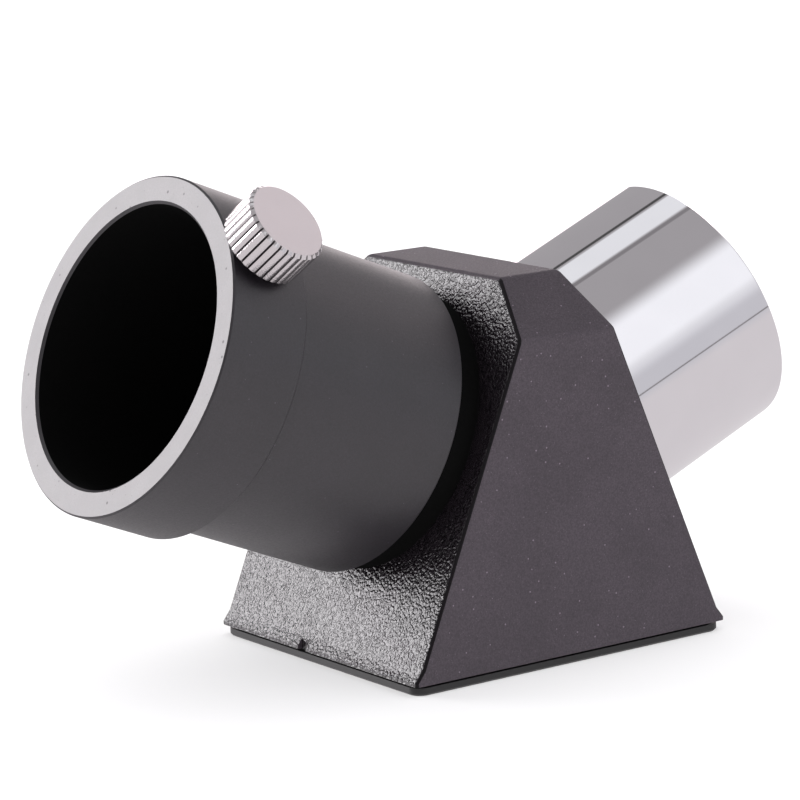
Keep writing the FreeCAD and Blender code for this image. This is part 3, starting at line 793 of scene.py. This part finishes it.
def nosepiece_outline(sizes):
    """Corners of the nosepiece's section, with the filter thread's grooves cut into its end."""
    low, end = span("nosepiece_tube", NOSE_AXIS)
    thread_start = end - FILTER_LENGTH
    corners = [
        (sizes.nose_inner_radius, low, 0),
        (sizes.spigot_radius, low, 0),
        (sizes.spigot_radius, FACE, 0),
        (BARREL_RADIUS, FACE, 0),
        (BARREL_RADIUS, end, sizes.rim_bevel),
        (FILTER_RADIUS, end, 0),
    ]
    for turn in range(int(FILTER_LENGTH / sizes.thread_pitch)):
        crest = end - turn * sizes.thread_pitch
        corners.append((FILTER_RADIUS + sizes.thread_depth, crest - 0.5 * sizes.thread_pitch, 0))
        corners.append((FILTER_RADIUS, crest - sizes.thread_pitch, 0))
    return corners + [(FILTER_RADIUS, thread_start, 0), (sizes.nose_inner_radius, thread_start, 0)]


class BuildEyepieceTube(bpy.types.Operator):
    """Turns the eyepiece tube with its collar, and drills it for the thumbscrew"""
    bl_idname = "diagonal.eyepiece_tube"
    bl_label = "Eyepiece Tube"

    def execute(self, context):
        sizes, colours = context.scene.diagonal_tubes, context.scene.diagonal_colours
        tube = new_object("eyepiece_holder", placed(turned(eyepiece_outline(sizes)), along(EYEPIECE_AXIS)))
        hole_radius = context.scene.diagonal_screw.thread_radius + 0.03 * MM
        hole = placed(rod(hole_radius, -7 * MM, MM), along(SCREW_AXIS, SCREW_FOOT))
        combined(tube, [hole])
        materials = [kept("black_anodising", black_anodising, colours), kept("bare_rim", bare_rim, colours),
                     kept("flat_black", flat_black, colours)]
        finished(tube, materials, "diagonal", "eyepiece_tube")
        end = span("eyepiece_tube", EYEPIECE_AXIS)[1]
        bore_edge = BORE_RADIUS + 0.1 * sizes.bore_bevel
        paint_faces(tube, 1, lambda centre, normal: normal.dot(EYEPIECE_AXIS) > 0.95
                    and height_on(EYEPIECE_AXIS, centre) > end - 0.1 * MM)
        paint_faces(tube, 2, lambda centre, normal: off_axis(EYEPIECE_AXIS, centre) < bore_edge
                    and height_on(EYEPIECE_AXIS, centre) > FACE)
        # The neck beside the housing gets the flat black too: painted shade for the shadow that falls there.
        paint_faces(tube, 2, lambda centre, normal:
                    height_on(EYEPIECE_AXIS, centre) < sizes.body_start + EPSILON)
        return {"FINISHED"}


class BuildNosepiece(bpy.types.Operator):
    """Turns the chrome nosepiece, with the filter thread inside its end"""
    bl_idname = "diagonal.nosepiece"
    bl_label = "Nosepiece"

    def execute(self, context):
        sizes, colours = context.scene.diagonal_tubes, context.scene.diagonal_colours
        barrel = new_object("nosepiece_barrel", placed(turned(nosepiece_outline(sizes)), along(NOSE_AXIS)))
        materials = [kept("barrel_chrome", barrel_chrome, colours), kept("flat_black", flat_black, colours)]
        finished(barrel, materials, "diagonal", "nosepiece_tube",
                 sharp=25)
        thread_start = span("nosepiece_tube", NOSE_AXIS)[1] - FILTER_LENGTH
        paint_faces(barrel, 1, lambda centre, normal: height_on(NOSE_AXIS, centre) < thread_start + EPSILON
                    and off_axis(NOSE_AXIS, centre) < FILTER_RADIUS + 0.1 * MM)
        return {"FINISHED"}


# ---- thumbscrew ----

def from_crest(point, flutes):
    """How far a point of the knob on Z is from the nearest crest, from 0 to 1 at the bottom of a flute."""
    turn = math.atan2(point.y, point.x) / math.tau * flutes
    return 1 - 2 * abs(turn - round(turn))


def in_flute(point, flutes):
    """Whether a point of the knob on Z lies between the two teeth beside a flute."""
    return from_crest(point, flutes) > 1 - 2 / FLUTE_POINTS + 0.01


def knob_form(sizes):
    """The knob on Z, standing on its foot: a fluted grip that runs in to a plain round top."""
    low, high = span("thumbscrew_knob", SCREW_AXIS, SCREW_FOOT)
    grip = radius("thumbscrew_knob", SCREW_AXIS, SCREW_FOOT)
    corners = FLUTE_POINTS * sizes.flutes
    bm = rod(grip, low, high, corners)
    for height in (low + sizes.foot_chamfer, high - sizes.chamfer):
        bmesh.ops.bisect_plane(bm, geom=bm.verts[:] + bm.edges[:] + bm.faces[:], plane_co=(0, 0, height),
                               plane_no=(0, 0, 1))
    for vertex in bm.verts:
        reach = grip - (sizes.flute_depth if in_flute(vertex.co, sizes.flutes)
                        else sizes.crown * from_crest(vertex.co, sizes.flutes) ** 2)
        if vertex.co.z > high - EPSILON:
            reach = sizes.disc_radius
        elif vertex.co.z < low + EPSILON:
            reach = min(reach, grip - sizes.foot_chamfer)
        vertex.co.xy *= reach / vertex.co.xy.length
    top_edges = [edge for edge in bm.edges if min(v.co.z for v in edge.verts) > high - EPSILON]
    rounded(bm, top_edges, sizes.disc_rounding, segments=2)
    return bm


class BuildKnob(bpy.types.Operator):
    """Turns and flutes the thumbscrew's knob, and bores it for the shank"""
    bl_idname = "diagonal.knob"
    bl_label = "Thumbscrew Knob"

    def execute(self, context):
        sizes, colours = context.scene.diagonal_screw, context.scene.diagonal_colours
        top = span("thumbscrew_knob", SCREW_AXIS, SCREW_FOOT)[1]
        tang_top = span("thumbscrew_stud", SCREW_AXIS, SCREW_FOOT)[1]
        grip = new_object("knob", placed(knob_form(sizes), along(SCREW_AXIS, SCREW_FOOT)))
        combined(grip, [placed(rod(sizes.tang_radius + PLAY, -MM, tang_top + 0.2 * MM),
                               along(SCREW_AXIS, SCREW_FOOT))])
        materials = [kept(maker.__name__, maker, colours)
                     for maker in (grip_chrome, disc_chrome, flute_chrome_painted_shade)]
        finished(grip, materials, "screw_head", "thumbscrew_knob", sharp=25)
        upright = along(SCREW_AXIS, SCREW_FOOT).inverted()
        # The flutes get the darkened chrome: painted shade in the grooves.
        paint_faces(grip, 2, lambda centre, normal: in_flute(upright @ centre, sizes.flutes))
        paint_faces(grip, 1, lambda centre, normal: (upright @ centre).z > top - EPSILON)
        return {"FINISHED"}


def threaded_rod(sizes, low, high):
    """A rod on Z with a helical thread, closed at both ends."""
    root, pitch = sizes.thread_radius - sizes.thread_depth, sizes.thread_pitch
    steps, turns = 32, int((high - low) / pitch) + 3
    bm = bmesh.new()
    outline = ((root, 0), (sizes.thread_radius, 0.42), (sizes.thread_radius, 0.58), (root, 1))
    corners = [bm.verts.new((r, 0, low + (share - 2) * pitch)) for r, share in outline]
    for start, end in zip(corners, corners[1:]):
        bm.edges.new((start, end))
    bmesh.ops.spin(bm, geom=bm.verts[:] + bm.edges[:], cent=(0, 0, 0), axis=(0, 0, 1),
                   dvec=(0, 0, pitch / steps), angle=math.tau * turns, steps=steps * turns, use_merge=False)
    bmesh.ops.remove_doubles(bm, verts=bm.verts[:], dist=0.1 * EPSILON)
    trim(bm, (0, 0, low), (0, 0, -1))
    trim(bm, (0, 0, high), (0, 0, 1))
    return bm


class BuildStud(bpy.types.Operator):
    """Cuts the thumbscrew's threaded shank, with the plain end that is pressed into the knob"""
    bl_idname = "diagonal.stud"
    bl_label = "Thumbscrew Shank"

    def execute(self, context):
        sizes = context.scene.diagonal_screw
        low, high = span("thumbscrew_stud", SCREW_AXIS, SCREW_FOOT)
        shank = new_object("threaded_shank", threaded_rod(sizes, low, 0))
        combined(shank, [rod(sizes.tang_radius, -MM, high)], "UNION")
        shank.data.transform(along(SCREW_AXIS, SCREW_FOOT))
        finished(shank, [kept("bright_steel", steel, context.scene.diagonal_colours)], "screw_shank",
                 "thumbscrew_stud")
        return {"FINISHED"}


# ---- parts whose engineering shape stays ----

class FinishPrism(bpy.types.Operator):
    """Polishes the roof prism, and blackens the masks over its faces"""
    bl_idname = "diagonal.prism"
    bl_label = "Roof Prism and Masks"

    def execute(self, context):
        colours = context.scene.diagonal_colours
        paint_node("roof_prism", kept("prism_glass", prism_glass, colours))
        for node in ("eyepiece_side_mask", "nosepiece_side_mask"):
            paint_node(node, kept("flat_black", flat_black, colours))
        return {"FINISHED"}


class FinishCarrier(bpy.types.Operator):
    """Finishes the moulded prism carrier, its spring clip, pads and screws"""
    bl_idname = "diagonal.carrier"
    bl_label = "Carrier, Clip and Pads"

    def execute(self, context):
        colours = context.scene.diagonal_colours
        paint_node("prism_carrier", kept("carrier_plastic", soft_black, "carrier_plastic", colours.carrier,
                                         0.45, 0.6))
        rubber = kept("black_rubber", soft_black, "black_rubber", colours.rubber, 0.7, 0.9)
        for node in ("seat_pads_eyepiece_side", "seat_pads_nosepiece_side", "side_pad_left", "side_pad_right",
                     "clip_pad", "cover_gasket"):
            paint_node(node, rubber)
        for node in ("prism_clip", "clip_screws", "carrier_screws"):
            paint_node(node, kept("bright_steel", steel, colours))
        return {"FINISHED"}


class FinishFasteners(bpy.types.Operator):
    """Finishes the base cover's screws and the rings that lock both tubes"""
    bl_idname = "diagonal.fasteners"
    bl_label = "Screws and Lock Rings"

    def execute(self, context):
        colours = context.scene.diagonal_colours
        paint_node("cover_screws", kept("bright_steel", steel, colours))
        for node in ("eyepiece_lock_ring", "nosepiece_lock_ring"):
            paint_node(node, kept("black_anodising", black_anodising, colours))
        return {"FINISHED"}


# ---- studio ----

def direction(azimuth, elevation):
    """Unit direction at an azimuth, counted from -Y towards +X, and an elevation."""
    flat = math.cos(elevation)
    return Vector((math.sin(azimuth) * flat, -math.cos(azimuth) * flat, math.sin(elevation)))


FLOOR_GLOW = (0.76, 0.73, 0.75, 1.0)     # the floor as reflections see it
FLOOR_RADIUS = 4.0
# Soft boxes: azimuth, elevation, half width, half height and edge softness in degrees, and radiance.
SOFT_BOXES = (
    (150, 7, 26, 8, 6, (3.1, 2.8, 2.85)),              # low light behind on the right
    (32, 8, 30, 11, 8, (0.66, 0.66, 0.70)),            # foot of the key
    (24, 36, 26, 19, 16, (1.10, 1.12, 1.16)),          # key, in front
    (155, 69, 60, 9, 2, (0.92, 0.94, 0.97)),           # strip overhead
    (214, -13, 18, 10, 8, (1.8, 1.75, 1.8)),           # glare of the rim light on the floor
    (214, 15, 16, 20, 12, (6.0, 5.85, 6.0)),           # rim light, behind on the left
    (93, 30, 20, 18, 8, (0.90, 0.83, 0.86)),           # fill, on the right
    (150, 57, 50, 1.3, 1, (0.08, 0.08, 0.08)),         # dark edge below the strip
    (150, 80, 60, 1.3, 1, (0.26, 0.25, 0.26)),         # dark edge above it
    (25, -0.5, 35, 0.5, 0.5, (0.30, 0.29, 0.30)),      # far edge of the floor
)


class Studio(Tree):
    """The world's node tree, in which each soft box is a bright patch of directions."""

    def __init__(self, world):
        super().__init__(world.node_tree)
        self.way = self.add("ShaderNodeTexCoord").outputs["Generated"]

    def dot(self, vector):
        return self.add("ShaderNodeVectorMath", {0: self.way, 1: vector},
                        operation="DOT_PRODUCT").outputs["Value"]

    def ramp(self, value, low, high):
        """1 below low, 0 above high, smooth between."""
        return self.remap(value, low, high, 1.0, 0.0)

    def patch(self, azimuth, elevation, half_width, half_height, edge):
        """1 inside a rectangle of directions, falling to 0 over its soft edge."""
        centre = direction(math.radians(azimuth), math.radians(elevation))
        across = Vector((math.cos(math.radians(azimuth)), math.sin(math.radians(azimuth)), 0))
        forward = self.dot(centre)
        inside = self.math("GREATER_THAN", forward, 0.0)
        for axis, half in ((across, half_width), (centre.cross(across), half_height)):
            angle_off = self.math("ABSOLUTE", self.math("ARCTAN2", self.dot(axis), forward))
            low, high = math.radians(half - edge / 2), math.radians(half + edge / 2)
            inside = self.math("MULTIPLY", inside, self.ramp(angle_off, low, high))
        return inside


def light_studio(view):
    world = bpy.data.worlds.new("studio")
    bpy.context.scene.world = world
    world.use_nodes = True
    studio = Studio(world)
    walls = (view.ambient, view.ambient * 0.97, view.ambient, 1.0)
    colour_now = studio.blend(studio.ramp(studio.dot(Vector((0, 0, 1))), -0.02, 0.02), walls, FLOOR_GLOW)
    for azimuth, elevation, half_width, half_height, edge, radiance in SOFT_BOXES:
        patch = studio.patch(azimuth, elevation, half_width, half_height, edge)
        colour_now = studio.blend(patch, colour_now, (*radiance, 1.0))
    seen = studio.nodes.new("ShaderNodeLightPath").outputs["Is Camera Ray"]
    backdrop = (view.background, view.background, view.background, 1.0)
    background = studio.nodes["Background"]
    studio.links.new(studio.blend(seen, colour_now, backdrop), background.inputs["Color"])


def aim_camera(view):
    camera = bpy.data.objects.new("camera", bpy.data.cameras.new("camera"))
    bpy.context.scene.collection.objects.link(camera)
    outward = direction(view.azimuth, view.elevation)
    level = outward.to_track_quat("Z", "Y").to_matrix().to_4x4()
    place = Vector(view.aim) + outward * view.distance
    camera.matrix_world = Matrix.Translation(place) @ level @ Matrix.Rotation(view.roll, 4, "Z")
    camera.data.lens = view.lens
    camera.data.clip_start = 10 * MM
    bpy.context.scene.camera = camera


def lay_floor(colours):
    bm = bmesh.new()
    bmesh.ops.create_circle(bm, cap_ends=True, segments=96, radius=FLOOR_RADIUS)
    floor = new_object("floor", bm)
    shade = Shade("floor_paper")
    paper = shade.noise(40 * MM, 2.0)
    shade.set(Base_Color=shade.blend(paper, scaled(colours.floor, 0.99), colours.floor[:]), Roughness=0.9,
              Specular_IOR_Level=0.0)
    floor.data.materials.append(shade.material)
    floor.visible_glossy = False


def hang_fill_light(view):
    """A broad light overhead that lifts only the floor to white."""
    receivers = bpy.data.collections.new("lit_from_overhead")
    receivers.objects.link(bpy.data.objects["floor"])
    light = bpy.data.lights.new("overhead_fill", "SUN")
    light.energy = view.fill_strength
    light.angle = view.fill_angle
    lamp = bpy.data.objects.new("overhead_fill", light)
    lamp.light_linking.receiver_collection = receivers
    lamp.light_linking.blocker_collection = receivers
    bpy.context.scene.collection.objects.link(lamp)


class SetStage(bpy.types.Operator):
    """Lays the pale floor, lights the studio softly and sets up the camera"""
    bl_idname = "diagonal.stage"
    bl_label = "Stage, Light and Camera"

    def execute(self, context):
        scene = context.scene
        light_studio(scene.diagonal_view)
        aim_camera(scene.diagonal_view)
        lay_floor(scene.diagonal_colours)
        hang_fill_light(scene.diagonal_view)
        scene.view_settings.view_transform = "Standard"
        return {"FINISHED"}


# ---- sidebar and start ----

OPERATORS = (SetStage, BuildHousing, BuildBaseCover, BuildEyepieceTube, BuildNosepiece, BuildKnob, BuildStud,
             FinishPrism, FinishCarrier, FinishFasteners)


class VIEW3D_PT_diagonal(bpy.types.Panel):
    bl_label = "Prism Star Diagonal"
    bl_idname = "VIEW3D_PT_diagonal"
    bl_space_type = "VIEW_3D"
    bl_region_type = "UI"
    bl_category = "Diagonal"

    def draw(self, context):
        for operator in OPERATORS:
            self.layout.operator(operator.bl_idname)
        for group_name, group in GROUPS.items():
            box = self.layout.box()
            for property_name in group.__annotations__:
                box.prop(getattr(context.scene, group_name), property_name)


def register():
    for group_name, group in GROUPS.items():
        bpy.utils.register_class(group)
        setattr(bpy.types.Scene, group_name, PointerProperty(type=group))
    for operator in OPERATORS:
        bpy.utils.register_class(operator)
    bpy.utils.register_class(VIEW3D_PT_diagonal)


def unregister():
    bpy.utils.unregister_class(VIEW3D_PT_diagonal)
    for operator in reversed(OPERATORS):
        bpy.utils.unregister_class(operator)
    for group_name, group in GROUPS.items():
        delattr(bpy.types.Scene, group_name)
        bpy.utils.unregister_class(group)


def main():
    register()
    for operator in OPERATORS:
        module, name = operator.bl_idname.split(".")
        getattr(getattr(bpy.ops, module), name)()


if __name__ == "__main__":
    main()
